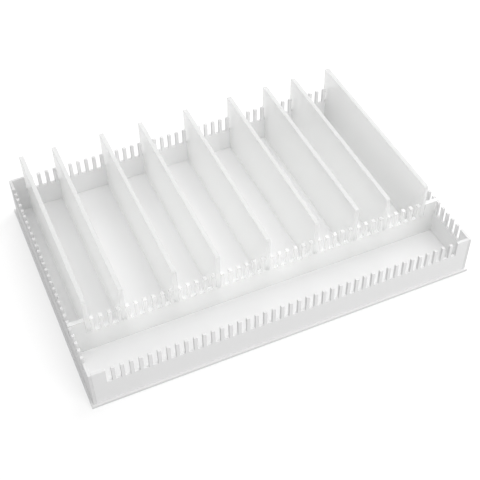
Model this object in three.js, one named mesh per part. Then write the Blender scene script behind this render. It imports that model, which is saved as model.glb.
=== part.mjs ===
// Drawer organizer insert: a shallow plastic tray whose four walls are cut into combs,
// one long divider that drops into the side walls' slots, and nine tall cross dividers that
// drop into the slots of the back wall and of the long divider.
//
// Units are millimetres. +X runs along the tray's long side, +Y from its front to its back and
// +Z up. The origin is the centre of the base plate's underside.

import * as THREE from 'three';

// Comb: every slotted edge has the same pitch, slot width and slot depth.
const PITCH = 9.525;
const SLOT_WIDTH = 5.7;
const SLOT_DEPTH = 19.05;
const END_MARGIN = 17.4;       // plain length between a wall's end and its first slot
const LONG_SLOTS = 42;         // slots along the front wall, back wall and long divider
const SHORT_SLOTS = 28;        // slots along each side wall

// Tray
const SHEET = 3.2;             // base plate and walls
const TRAY_HEIGHT = 50.8;
const BASE_LIP = 2.4;          // how far the base plate stands out past the walls

// Dividers
const DIVIDER_SHEET = 4.8;
const CROSS_DIVIDER_TOP = 79.4;
const FLOOR_CLEARANCE = 0.8;   // under every divider, which hangs from its ears
const END_CLEARANCE = 0.5;     // between a divider's lower edge and the wall beside it
const LONG_DIVIDER_SLOT = 5;   // side wall slot that holds the long divider, 0 is the front one
const CROSS_DIVIDER_SLOTS = [0, 4, 10, 15, 21, 27, 32, 36, 41];

// Sizes and places that follow
const combLength = (slots) => (slots - 1) * PITCH + SLOT_WIDTH + 2 * END_MARGIN;
const slotCentre = (index, slots) => (index - (slots - 1) / 2) * PITCH;

const trayLength = combLength(LONG_SLOTS);
const trayWidth = combLength(SHORT_SLOTS);
const slotFloor = TRAY_HEIGHT - SLOT_DEPTH;
const dividerBottom = SHEET + FLOOR_CLEARANCE;
const innerLength = trayLength - 2 * SHEET;
const innerWidth = trayWidth - 2 * SHEET;
const longDividerY = slotCentre(LONG_DIVIDER_SLOT, SHORT_SLOTS);

// Materials: opaque white sheet for the tray, milky half-clear sheet for the dividers.
const whiteSheet = () => new THREE.MeshStandardMaterial({
  color: 0xeceeee,
  roughness: 0.42,
  metalness: 0,
});
const milkySheet = () => new THREE.MeshStandardMaterial({
  color: 0xe3e9e6,
  roughness: 0.38,
  metalness: 0,
});

// An upright board's outline is drawn with u along the board and v up.
function boardShape(points) {
  return new THREE.Shape(points.map(([u, v]) => new THREE.Vector2(u, v)));
}

// Top edge of a comb, walked from its right end to its left end.
function combEdge(length, slots, top) {
  const points = [[length / 2, top]];
  for (let index = slots - 1; index >= 0; index -= 1) {
    const centre = slotCentre(index, slots);
    const right = centre + SLOT_WIDTH / 2;
    const left = centre - SLOT_WIDTH / 2;
    points.push([right, top], [right, top - SLOT_DEPTH]);
    points.push([left, top - SLOT_DEPTH], [left, top]);
  }
  points.push([-length / 2, top]);
  return points;
}

// Board that stands along X, with its outline's u on X; y is the middle of its thickness.
function boardAlongX(shape, thickness, y) {
  const geometry = new THREE.ExtrudeGeometry(shape, { depth: thickness, bevelEnabled: false });
  geometry.rotateX(Math.PI / 2);
  geometry.translate(0, y + thickness / 2, 0);
  return geometry;
}

// Board that stands along Y, with its outline's u on Y; x is the middle of its thickness.
function boardAlongY(shape, thickness, x) {
  const geometry = new THREE.ExtrudeGeometry(shape, { depth: thickness, bevelEnabled: false });
  geometry.rotateX(Math.PI / 2);
  geometry.rotateZ(Math.PI / 2);
  geometry.translate(x - thickness / 2, 0, 0);
  return geometry;
}

function piece(name, geometry, material) {
  const mesh = new THREE.Mesh(geometry, material);
  mesh.name = name;
  return mesh;
}

// Base plate
function basePlate() {
  const length = trayLength + 2 * BASE_LIP;
  const width = trayWidth + 2 * BASE_LIP;
  const geometry = new THREE.BoxGeometry(length, width, SHEET);
  geometry.translate(0, 0, SHEET / 2);
  return piece('base_plate', geometry, whiteSheet());
}

// Front and back walls: they stand on the base plate, between the side walls.
function longWall(name, y) {
  const shape = boardShape([
    [-innerLength / 2, SHEET],
    [innerLength / 2, SHEET],
    ...combEdge(innerLength, LONG_SLOTS, TRAY_HEIGHT),
  ]);
  return piece(name, boardAlongX(shape, SHEET, y), whiteSheet());
}

// Side walls: they stand on the base plate and run the tray's whole width.
function sideWall(name, x) {
  const shape = boardShape([
    [-trayWidth / 2, SHEET],
    [trayWidth / 2, SHEET],
    ...combEdge(trayWidth, SHORT_SLOTS, TRAY_HEIGHT),
  ]);
  return piece(name, boardAlongY(shape, SHEET, x), whiteSheet());
}

// Long divider: a comb as high as the walls. An ear at each end rests in a side wall's slot,
// and below the ears the board is short enough to stand between the walls.
function longDivider() {
  const lowerEnd = innerLength / 2 - END_CLEARANCE;
  const shape = boardShape([
    [-trayLength / 2, slotFloor],
    [-lowerEnd, slotFloor],
    [-lowerEnd, dividerBottom],
    [lowerEnd, dividerBottom],
    [lowerEnd, slotFloor],
    [trayLength / 2, slotFloor],
    ...combEdge(trayLength, LONG_SLOTS, TRAY_HEIGHT),
  ]);
  return piece('long_divider', boardAlongX(shape, DIVIDER_SHEET, longDividerY), milkySheet());
}

// Cross divider: a tall plain board. Its front ear rests in a slot of the long divider, flush
// with that divider's front face, and its back ear passes through the back wall's slot and ends
// above the base plate's edge.
function crossDivider(name, x) {
  const frontEar = longDividerY - DIVIDER_SHEET / 2;
  const frontEdge = longDividerY + DIVIDER_SHEET / 2 + END_CLEARANCE;
  const backEdge = innerWidth / 2 - END_CLEARANCE;
  const backEar = trayWidth / 2 + BASE_LIP;
  const shape = boardShape([
    [frontEar, slotFloor],
    [frontEdge, slotFloor],
    [frontEdge, dividerBottom],
    [backEdge, dividerBottom],
    [backEdge, slotFloor],
    [backEar, slotFloor],
    [backEar, CROSS_DIVIDER_TOP],
    [frontEar, CROSS_DIVIDER_TOP],
  ]);
  return piece(name, boardAlongY(shape, DIVIDER_SHEET, x), milkySheet());
}

const organizer = new THREE.Group();
organizer.add(basePlate());
organizer.add(longWall('front_wall', -(trayWidth - SHEET) / 2));
organizer.add(longWall('back_wall', (trayWidth - SHEET) / 2));
organizer.add(sideWall('left_wall', -(trayLength - SHEET) / 2));
organizer.add(sideWall('right_wall', (trayLength - SHEET) / 2));
organizer.add(longDivider());
CROSS_DIVIDER_SLOTS.forEach((slot, index) => {
  organizer.add(crossDivider(`cross_divider_${index + 1}`, slotCentre(slot, LONG_SLOTS)));
});

export default organizer;
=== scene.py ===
"""Drawer organizer insert: a white comb-walled tray with milky lift-out dividers.

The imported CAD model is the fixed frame. Every sheet is rebuilt here from its CAD node, with
rounded corners, broken edges and procedural plastic.
"""

import math

import bmesh
import bpy
from mathutils import Euler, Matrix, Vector


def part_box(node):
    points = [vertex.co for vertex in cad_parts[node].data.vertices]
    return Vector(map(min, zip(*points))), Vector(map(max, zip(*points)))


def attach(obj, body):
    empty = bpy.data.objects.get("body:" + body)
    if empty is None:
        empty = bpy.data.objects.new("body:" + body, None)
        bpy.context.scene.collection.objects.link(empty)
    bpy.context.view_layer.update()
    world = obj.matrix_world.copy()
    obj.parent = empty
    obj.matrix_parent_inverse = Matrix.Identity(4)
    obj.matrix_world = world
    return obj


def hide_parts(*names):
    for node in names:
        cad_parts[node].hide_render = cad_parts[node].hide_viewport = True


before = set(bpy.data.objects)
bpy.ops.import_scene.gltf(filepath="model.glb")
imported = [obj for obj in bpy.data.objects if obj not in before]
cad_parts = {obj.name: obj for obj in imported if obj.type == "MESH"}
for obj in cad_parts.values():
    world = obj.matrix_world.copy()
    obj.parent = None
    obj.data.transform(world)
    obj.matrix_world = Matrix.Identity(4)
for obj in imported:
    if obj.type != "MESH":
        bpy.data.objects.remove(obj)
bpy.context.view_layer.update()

MM = 0.001

# Camera: place in metres, turn in degrees about X, Y and Z, lens and sensor in millimetres
CAMERA_PLACE = (-0.28238, -0.67262, 0.78531)
CAMERA_TURN = (42.876, 0.585, -24.022)
CAMERA_LENS = 69.80
SENSOR_WIDTH = 36.0

# Floor: its reach is from the middle to a side
FLOOR_REACH = 60.0
FLOOR_LEVEL = 0.55
FLOOR_ROUGHNESS = 0.9
FLOOR_SPECULAR = 0.1
FLOOR_EMISSION = 0.53

# Light: an even surround, and square soft boxes on a dome over the tray
SURROUND_STRENGTH = 0.46
SOFT_BOX_SIZE = 0.9
SOFT_BOX_REACH = 1.6
AIM_HEIGHT = 0.03

# How the sheets' corners and edges are finished
TOOTH_TIP_RADIUS = 0.7 * MM
SLOT_FLOOR_RADIUS = 0.6 * MM
DIVIDER_TOP_RADIUS = 2.2 * MM
PLAIN_CORNER_RADIUS = 0.35 * MM
BROKEN_EDGE = 0.25 * MM
CORNER_STEPS = 4
EDGE_STEPS = 2
ROUND_PROFILE = 0.5
FLAT_FACE_WEIGHT = 90

# Tolerances. ALIGNED and UPWARD are cosines of the widest angle to an axis and to straight up.
WELD_DISTANCE = 0.01 * MM
LEVEL_DISTANCE = 0.1 * MM
FLAT_ANGLE = math.radians(1.0)
ALIGNED = 0.99
UPWARD = 0.5

# Fine surface of the plastic. A scale is in noise cells a metre, for all axes or for X, Y and Z.
# Most of a noise's values lie in NOISE_RANGE, and the squeeze makes smears a third as long along Z.
ACRYLIC_IOR = 1.49
NOISE_RANGE = (0.3, 0.7)
CLOUD_SCALE = 9.0
SMEAR_SCALE = 22.0
SMEAR_SQUEEZE = (1.0, 1.0, 3.0)
SMEAR_ROUGHNESS = (-0.06, 0.08)
GRAIN_SCALE = 1800.0
GRAIN_STRENGTH = 0.12
GRAIN_HEIGHT = 0.04 * MM
WAVE_SCALE = 14.0
WAVE_STRENGTH = 0.35
WAVE_HEIGHT = 0.35 * MM
MOTTLE_SCALE = 260.0
MOTTLE_ROUGHNESS = (-0.07, 0.07)
SAW_MARK_SCALE = (2400.0, 2400.0, 700.0)
SAW_MARK_STRENGTH = 0.25
SAW_MARK_HEIGHT = 0.06 * MM

TRAY_SHEETS = ("base_plate", "front_wall", "back_wall", "left_wall", "right_wall")
LONG_DIVIDER = "long_divider"
CROSS_DIVIDERS = sorted(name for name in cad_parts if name.startswith("cross_divider"))


# Materials


class Tree:
    """A material's node tree, with short calls that add nodes and link them."""

    def __init__(self, name):
        self.material = bpy.data.materials.new(name)
        self.material.use_nodes = True
        self.nodes = self.material.node_tree.nodes
        self.shader = self.nodes["Principled BSDF"]

    def node(self, kind, inputs=None, **settings):
        made = self.nodes.new(kind)
        for key, value in settings.items():
            setattr(made, key, value)
        for key, value in (inputs or {}).items():
            self.feed(made.inputs[key], value)
        return made

    def feed(self, socket, value):
        """Links a node's output to the socket, or sets the socket to a plain value."""
        if isinstance(value, bpy.types.NodeSocket):
            self.material.node_tree.links.new(value, socket)
        else:
            socket.default_value = value

    def shade(self, key, value):
        self.feed(self.shader.inputs[key], value)

    def noise(self, place, scale, detail=3.0, roughness=0.5):
        made = self.node(
            "ShaderNodeTexNoise",
            {"Vector": place, "Scale": scale, "Detail": detail, "Roughness": roughness},
        )
        return made.outputs["Fac"]

    def scaled(self, place, scale):
        made = self.node("ShaderNodeMapping", {"Vector": place, "Scale": scale})
        return made.outputs["Vector"]

    def spread(self, noise, middle, steps):
        """Moves a middle value by the noise, from the lower of two steps to the upper."""
        start, end = NOISE_RANGE
        low, high = (middle + step for step in steps)
        made = self.node(
            "ShaderNodeMapRange",
            {"Value": noise, "From Min": start, "From Max": end, "To Min": low, "To Max": high},
        )
        return made.outputs["Result"]

    def blended(self, share, first, second):
        made = self.node("ShaderNodeMix", data_type="RGBA")
        self.feed(made.inputs["Factor"], share)
        self.feed(made.inputs["A"], first)
        self.feed(made.inputs["B"], second)
        return made.outputs["Result"]

    def bump(self, height, strength, distance, normal=None):
        inputs = {"Height": height, "Strength": strength, "Distance": distance}
        if normal is not None:
            inputs["Normal"] = normal
        return self.node("ShaderNodeBump", inputs).outputs["Normal"]


def colour(red, green, blue):
    return (red, green, blue, 1.0)


def grey(level):
    return colour(level, level, level)


def make_milky(tree, colour_output, clear, glow):
    """Milky acrylic: a share of the light goes straight on, and a share glows through from behind."""
    tree.shade("Alpha", 1.0 - clear / (1.0 - glow))
    behind = tree.node("ShaderNodeBsdfTranslucent", {"Color": colour_output})
    mixed = tree.node("ShaderNodeMixShader", {"Fac": glow})
    tree.feed(mixed.inputs[1], tree.shader.outputs["BSDF"])
    tree.feed(mixed.inputs[2], behind.outputs["BSDF"])
    tree.feed(tree.nodes["Material Output"].inputs["Surface"], mixed.outputs["Shader"])


def sheet_face(name, dark, light, roughness, milky=None):
    """A sheet's broad face: faint clouding, handling marks and a fine satin grain."""
    tree = Tree(name)
    place = tree.node("ShaderNodeTexCoord").outputs["Object"]
    clouds = tree.blended(tree.noise(place, CLOUD_SCALE, detail=4.0), dark, light)
    tree.shade("Base Color", clouds)
    squeezed = tree.scaled(place, SMEAR_SQUEEZE)
    smears = tree.noise(squeezed, SMEAR_SCALE, detail=6.0, roughness=0.6)
    tree.shade("Roughness", tree.spread(smears, roughness, SMEAR_ROUGHNESS))
    grain = tree.noise(place, GRAIN_SCALE, detail=2.0)
    waves = tree.noise(place, WAVE_SCALE, detail=1.0)
    bent = tree.bump(waves, WAVE_STRENGTH, WAVE_HEIGHT)
    tree.shade("Normal", tree.bump(grain, GRAIN_STRENGTH, GRAIN_HEIGHT, bent))
    tree.shade("IOR", ACRYLIC_IOR)
    if milky:
        make_milky(tree, clouds, **milky)
    return tree.material


def sheet_cut(name, dark, light, roughness, milky=None):
    """A sheet's sawn edge: matt and chalky, with fine saw marks."""
    tree = Tree(name)
    place = tree.node("ShaderNodeTexCoord").outputs["Object"]
    mottle = tree.noise(place, MOTTLE_SCALE, detail=4.0)
    # Mottled between the given colours. For the white sheets these carry painted shade, and for the
    # comb's tops a painted highlight.
    edge_colour = tree.blended(mottle, dark, light)
    tree.shade("Base Color", edge_colour)
    tree.shade("Roughness", tree.spread(mottle, roughness, MOTTLE_ROUGHNESS))
    marks = tree.noise(tree.scaled(place, SAW_MARK_SCALE), scale=1.0)
    tree.shade("Normal", tree.bump(marks, SAW_MARK_STRENGTH, SAW_MARK_HEIGHT))
    tree.shade("IOR", ACRYLIC_IOR)
    if milky:
        make_milky(tree, edge_colour, **milky)
    return tree.material


# The shares of light that a milky sheet's broad faces and side edges let through
MILKY_SHARES = {"clear": 0.36, "glow": 0.38}
MILKY_CUT_COLOURS = (colour(0.970, 0.974, 0.970), colour(0.988, 0.990, 0.987))

# A kind of sheet has one material for broad faces, one for upward edges and one for other cut edges
WHITE = {
    "face": sheet_face("white_sheet_face", grey(0.915), grey(0.935), 0.42),
    # The cut edges' grey is darker than the faces': painted shade for the shaded sides of the teeth
    "cut": sheet_cut("white_sheet_cut_painted_shade", grey(0.80), grey(0.86), 0.62),
    # The upward edges' grey is darker than the faces' too: painted shade for the slot floors, which
    # also dims tooth tips and wall tops
    "top": sheet_cut("white_sheet_top_painted_shade", grey(0.82), grey(0.86), 0.55),
}
MILKY = {
    "face": sheet_face(
        "milky_sheet_face",
        colour(0.980, 0.982, 0.979),
        colour(0.989, 0.991, 0.988),
        0.34,
        MILKY_SHARES,
    ),
    "cut": sheet_cut("milky_sheet_cut", *MILKY_CUT_COLOURS, 0.55, MILKY_SHARES),
    "top": sheet_cut(
        "milky_sheet_top",
        colour(0.855, 0.858, 0.855),
        colour(0.890, 0.893, 0.890),
        0.50,
        {"clear": 0.15, "glow": 0.20},
    ),
}
# The long divider's narrow teeth are clearer at the sides than a long edge is. Their tops are whiter: a
# painted highlight for the bright tips.
COMB = dict(
    MILKY,
    cut=sheet_cut("milky_comb_cut", *MILKY_CUT_COLOURS, 0.55, {"clear": 0.60, "glow": 0.30}),
    # Whiter than the milky top: painted highlight on the tooth tips
    top=sheet_cut(
        "milky_comb_top_painted_highlight",
        colour(0.955, 0.958, 0.955),
        colour(0.985, 0.988, 0.985),
        0.45,
        {"clear": 0.05, "glow": 0.10},
    ),
)


# Sheets


def thin_axis(low, high):
    """0, 1 or 2: the axis that a sheet is thin along."""
    size = high - low
    return min(range(3), key=lambda axis: size[axis])


def solid_of(node):
    """The node's closed solid as a BMesh, with each flat side as one face."""
    solid = bmesh.new()
    solid.from_mesh(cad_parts[node].data)
    bmesh.ops.remove_doubles(solid, verts=solid.verts, dist=WELD_DISTANCE)
    bmesh.ops.dissolve_limit(
        solid, angle_limit=FLAT_ANGLE, verts=solid.verts, edges=solid.edges
    )
    return solid


def outline_corners(solid, axis):
    """The edges that run through the sheet's thickness, at the corners of its outline."""
    corners = []
    for edge in solid.edges:
        along = (edge.verts[1].co - edge.verts[0].co).normalized()
        if abs(along[axis]) > ALIGNED:
            corners.append(edge)
    return corners


def rounded(solid, edges, radius, steps):
    if edges:
        bmesh.ops.bevel(
            solid,
            geom=edges,
            offset=radius,
            offset_type="OFFSET",
            segments=steps,
            profile=ROUND_PROFILE,
            affect="EDGES",
            clamp_overlap=True,
        )


def rim_edges(solid, axis):
    """The edges between a broad face and the sheet's cut edge."""
    rim = []
    for edge in solid.edges:
        broad = [abs(face.normal[axis]) > ALIGNED for face in edge.link_faces]
        if len(broad) == 2 and broad[0] != broad[1]:
            rim.append(edge)
    return rim


def corner_radius(edge, top, divider):
    """A concave corner is at a slot's floor or under a divider's ear.

    A convex one at the sheet's top is a tooth's tip, or the corner of a divider with a plain top.
    Height is read at the edge's first end. The base plate's corners stand upright, so each of them
    gets a tooth tip's radius or a plain corner's, by which end is first.
    """
    if not edge.is_convex:
        return SLOT_FLOOR_RADIUS
    if abs(edge.verts[0].co.z - top) > LEVEL_DISTANCE:
        return PLAIN_CORNER_RADIUS
    return DIVIDER_TOP_RADIUS if divider else TOOTH_TIP_RADIUS


def face_kind(face, axis):
    """Broad face, upward edge, or any other cut edge."""
    if abs(face.normal[axis]) > ALIGNED:
        return "face"
    return "top" if face.normal.z > UPWARD else "cut"


def finished_solid(node, divider):
    """The node's solid with rounded outline corners and broken edges, and the axis it is thin along."""
    low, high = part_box(node)
    axis = thin_axis(low, high)
    solid = solid_of(node)
    by_radius = {}
    for edge in outline_corners(solid, axis):
        by_radius.setdefault(corner_radius(edge, high.z, divider), []).append(edge)
    for radius, edges in sorted(by_radius.items()):
        rounded(solid, [edge for edge in edges if edge.is_valid], radius, CORNER_STEPS)
    solid.normal_update()
    rounded(solid, rim_edges(solid, axis), BROKEN_EDGE, EDGE_STEPS)
    solid.normal_update()
    return solid, axis


def finished_sheet(node, body, materials, divider=False):
    """Stands for a CAD sheet: finished, with a material for each kind of face, riding on its body."""
    solid, axis = finished_solid(node, divider)
    kinds = list(materials)
    for face in solid.faces:
        face.smooth = True
        face.material_index = kinds.index(face_kind(face, axis))
    mesh = bpy.data.meshes.new(node + "_sheet")
    solid.to_mesh(mesh)
    solid.free()
    for kind in kinds:
        mesh.materials.append(materials[kind])
    sheet = bpy.data.objects.new(node + "_sheet", mesh)
    bpy.context.scene.collection.objects.link(sheet)
    weighted = sheet.modifiers.new("flat_faces", "WEIGHTED_NORMAL")
    weighted.keep_sharp = True
    weighted.weight = FLAT_FACE_WEIGHT
    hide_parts(node)
    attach(sheet, body)


for node in TRAY_SHEETS:
    finished_sheet(node, "tray", WHITE)
finished_sheet(LONG_DIVIDER, LONG_DIVIDER, COMB)
for node in CROSS_DIVIDERS:
    finished_sheet(node, node, MILKY, divider=True)


# Floor, light and camera


def make_floor():
    """A pale floor that takes shadows. Diffuse rays pass it by, so that it doesn't light the tray."""
    tree = Tree("pale_floor")
    tree.shade("Base Color", grey(FLOOR_LEVEL))
    tree.shade("Roughness", FLOOR_ROUGHNESS)
    tree.shade("Specular IOR Level", FLOOR_SPECULAR)
    tree.shade("Emission Color", grey(1.0))
    tree.shade("Emission Strength", FLOOR_EMISSION)
    mesh = bpy.data.meshes.new("floor")
    signs = ((-1, -1), (1, -1), (1, 1), (-1, 1))
    corners = [(x * FLOOR_REACH, y * FLOOR_REACH, 0) for x, y in signs]
    mesh.from_pydata(corners, [], [(0, 1, 2, 3)])
    mesh.materials.append(tree.material)
    floor = bpy.data.objects.new("floor", mesh)
    bpy.context.scene.collection.objects.link(floor)
    floor.visible_diffuse = False


def soft_box(name, azimuth, elevation, power):
    """A soft light on the dome, aimed at the tray's middle.

    Angles are in degrees and power in watts. Azimuth 0 is in front, 90 on the right.
    """
    light = bpy.data.lights.new(name, "AREA")
    light.shape = "SQUARE"
    light.size = SOFT_BOX_SIZE
    light.energy = power
    lamp = bpy.data.objects.new(name, light)
    bpy.context.scene.collection.objects.link(lamp)
    turn = math.radians(azimuth)
    rise = math.radians(elevation)
    level = SOFT_BOX_REACH * math.cos(rise)
    height = SOFT_BOX_REACH * math.sin(rise)
    lamp.location = (level * math.sin(turn), -level * math.cos(turn), height)
    aim = Vector((0.0, 0.0, AIM_HEIGHT)) - lamp.location
    lamp.rotation_euler = aim.to_track_quat("-Z", "Y").to_euler()
    lamp.visible_camera = False


def make_surround():
    """Even light from all sides, which the camera sees past the floor's end."""
    world = bpy.data.worlds.new("studio")
    bpy.context.scene.world = world
    world.use_nodes = True
    background = world.node_tree.nodes["Background"]
    background.inputs["Color"].default_value = grey(1.0)
    background.inputs["Strength"].default_value = SURROUND_STRENGTH


def make_camera():
    data = bpy.data.cameras.new("camera")
    data.lens = CAMERA_LENS
    data.sensor_width = SENSOR_WIDTH
    camera = bpy.data.objects.new("camera", data)
    bpy.context.scene.collection.objects.link(camera)
    camera.location = CAMERA_PLACE
    camera.rotation_euler = Euler([math.radians(turn) for turn in CAMERA_TURN])
    bpy.context.scene.camera = camera


make_floor()
make_surround()
soft_box("overhead", 0.0, 90.0, 3.5)
soft_box("high_front", 0.0, 55.0, 3.8)
soft_box("high_right", 120.0, 55.0, 6.8)
soft_box("low_front", 20.0, 22.0, 6.3)
soft_box("low_back", 180.0, 22.0, 6.4)
make_camera()
bpy.context.scene.view_settings.view_transform = "Standard"
